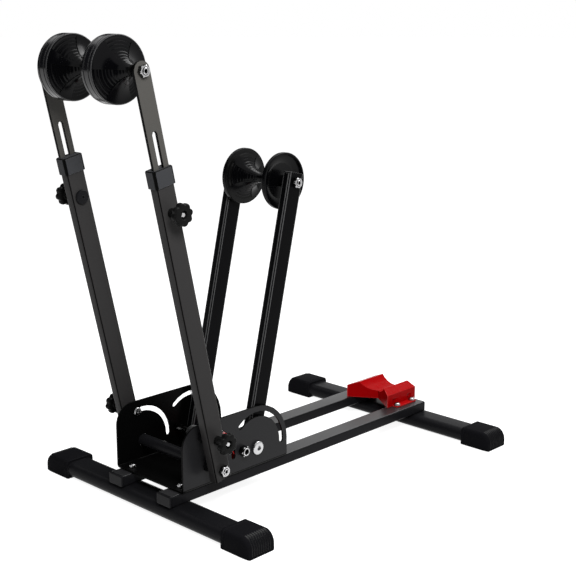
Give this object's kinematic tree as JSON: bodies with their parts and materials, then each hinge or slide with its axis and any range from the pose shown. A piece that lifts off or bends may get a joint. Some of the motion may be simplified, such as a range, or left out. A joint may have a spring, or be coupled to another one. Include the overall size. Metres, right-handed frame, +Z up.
{
  "type": "bicycle parking stand",
  "caption": "Floor stand for a bicycle wheel: cross-tube base, U bracket, tilting tall and short arms with flared rollers, and grooved red wheel pads.",
  "frame": {"origin": "on the floor under the middle of the whole stand as it stands with its arms up", "axes": "+Z up; +X towards the end where the wheel rolls in; +Y the stand's left side"},
  "size_m": [0.6358, 0.42, 0.6198],
  "materials": {
    "powder_black": "satin black powder coat with a fine texture",
    "plastic_black": "black moulded plastic with a soft sheen",
    "zinc": "bright zinc plate",
    "pad_red": "red moulded plastic, half gloss",
    "spring_black": "black oiled spring steel"
  },
  "bodies": {
    "base": {"front_cross_tube": "powder_black", "rear_cross_tube": "powder_black", "foot_cap_front_left": "plastic_black", "foot_cap_front_right": "plastic_black", "foot_cap_rear_left": "plastic_black", "foot_cap_rear_right": "plastic_black", "rail_left": "powder_black", "rail_right": "powder_black", "rail_plug_front_left": "plastic_black", "rail_plug_front_right": "plastic_black", "rail_plug_rear_left": "plastic_black", "rail_plug_rear_right": "plastic_black", "pivot_bracket": "powder_black", "bracket_bolt_front_left": "zinc", "bracket_bolt_front_right": "zinc", "bracket_bolt_rear_left": "zinc", "bracket_bolt_rear_right": "zinc", "entry_pad": "pad_red", "entry_pad_bolt_front_left": "zinc", "entry_pad_bolt_front_right": "zinc", "entry_pad_bolt_rear_left": "zinc", "entry_pad_bolt_rear_right": "zinc", "wheel_pad": "pad_red", "wheel_pad_screw": "zinc", "tall_pivot_tube": "powder_black", "tall_pivot_rod": "zinc", "tall_pivot_nut": "zinc", "spring_shaft": "zinc", "spring_shaft_nut": "zinc", "return_spring": "spring_black"},
    "tall_arms": {"tall_arm_left": "powder_black", "tall_arm_right": "powder_black", "arm_sleeve_left": "plastic_black", "arm_sleeve_right": "plastic_black", "slot_spacer_left": "plastic_black", "slot_spacer_right": "plastic_black", "slot_bolt_left": "zinc", "slot_bolt_right": "zinc", "height_bolt_left": "plastic_black", "height_bolt_right": "plastic_black"},
    "tall_extension": {"extension_bar_left": "powder_black", "extension_bar_right": "powder_black", "tall_axle": "zinc", "tall_axle_nut": "zinc"},
    "tall_roller_left": {"tall_roller_left": "plastic_black"},
    "tall_roller_right": {"tall_roller_right": "plastic_black"},
    "slot_knob_left": {"slot_knob_left": "plastic_black"},
    "slot_knob_right": {"slot_knob_right": "plastic_black"},
    "height_knob_left": {"height_knob_left": "plastic_black"},
    "height_knob_right": {"height_knob_right": "plastic_black"},
    "short_arms": {"short_arm_left": "powder_black", "short_arm_right": "powder_black", "short_pivot_bolt_left": "zinc", "short_pivot_bolt_right": "zinc", "short_axle": "zinc", "short_axle_nut": "zinc"},
    "short_roller_left": {"short_roller_left": "plastic_black"},
    "short_roller_right": {"short_roller_right": "plastic_black"},
    "wing_screw": {"wing_screw": "zinc"},
    "fold_hook": {"fold_hook": "powder_black"}
  },
  "joints": [
    {"name": "tall_arms_tilt", "type": "hinge", "parent": "base", "child": "tall_arms", "pos_m": [-0.1639, 0, 0.0665], "axis": [0, 1, 0], "range_deg": [0, 93.9]},
    {"name": "tall_height_slide", "type": "slide", "parent": "tall_arms", "child": "tall_extension", "axis": [-0.2161, 0, 0.9764], "range_m": [-0.05, 0.06]},
    {"name": "tall_roller_left_spin", "type": "hinge", "parent": "tall_extension", "child": "tall_roller_left", "pos_m": [-0.2774, 0, 0.57929], "axis": [0, 1, 0], "continuous": true},
    {"name": "tall_roller_right_spin", "type": "hinge", "parent": "tall_extension", "child": "tall_roller_right", "pos_m": [-0.2774, 0, 0.57929], "axis": [0, 1, 0], "continuous": true},
    {"name": "slot_knob_left_turn", "type": "hinge", "parent": "tall_arms", "child": "slot_knob_left", "pos_m": [-0.17363, 0.107, 0.11044], "axis": [0, 1, 0], "continuous": true},
    {"name": "slot_knob_right_turn", "type": "hinge", "parent": "tall_arms", "child": "slot_knob_right", "pos_m": [-0.17363, -0.107, 0.11044], "axis": [0, -1, 0], "continuous": true},
    {"name": "height_knob_left_turn", "type": "hinge", "parent": "tall_arms", "child": "height_knob_left", "pos_m": [-0.24062, 0.107, 0.41311], "axis": [0, 1, 0], "continuous": true},
    {"name": "height_knob_right_turn", "type": "hinge", "parent": "tall_arms", "child": "height_knob_right", "pos_m": [-0.24062, -0.107, 0.41311], "axis": [0, -1, 0], "continuous": true},
    {"name": "short_arms_tilt", "type": "hinge", "parent": "base", "child": "short_arms", "pos_m": [-0.0754, 0, 0.0665], "axis": [0, 1, 0], "range_deg": [-40, 71.3]},
    {"name": "short_roller_left_spin", "type": "hinge", "parent": "short_arms", "child": "short_roller_left", "pos_m": [0.00713, 0, 0.4203], "axis": [0, 1, 0], "continuous": true},
    {"name": "short_roller_right_spin", "type": "hinge", "parent": "short_arms", "child": "short_roller_right", "pos_m": [0.00713, 0, 0.4203], "axis": [0, 1, 0], "continuous": true},
    {"name": "wing_screw_turn", "type": "hinge", "parent": "short_arms", "child": "wing_screw", "pos_m": [-0.06461, 0.0735, 0.11276], "axis": [0, 1, 0], "continuous": true},
    {"name": "fold_hook_swing", "type": "hinge", "parent": "short_arms", "child": "fold_hook", "pos_m": [-0.06461, 0.0463, 0.11276], "axis": [0, -1, 0], "range_deg": [0, 40]}
  ]
}
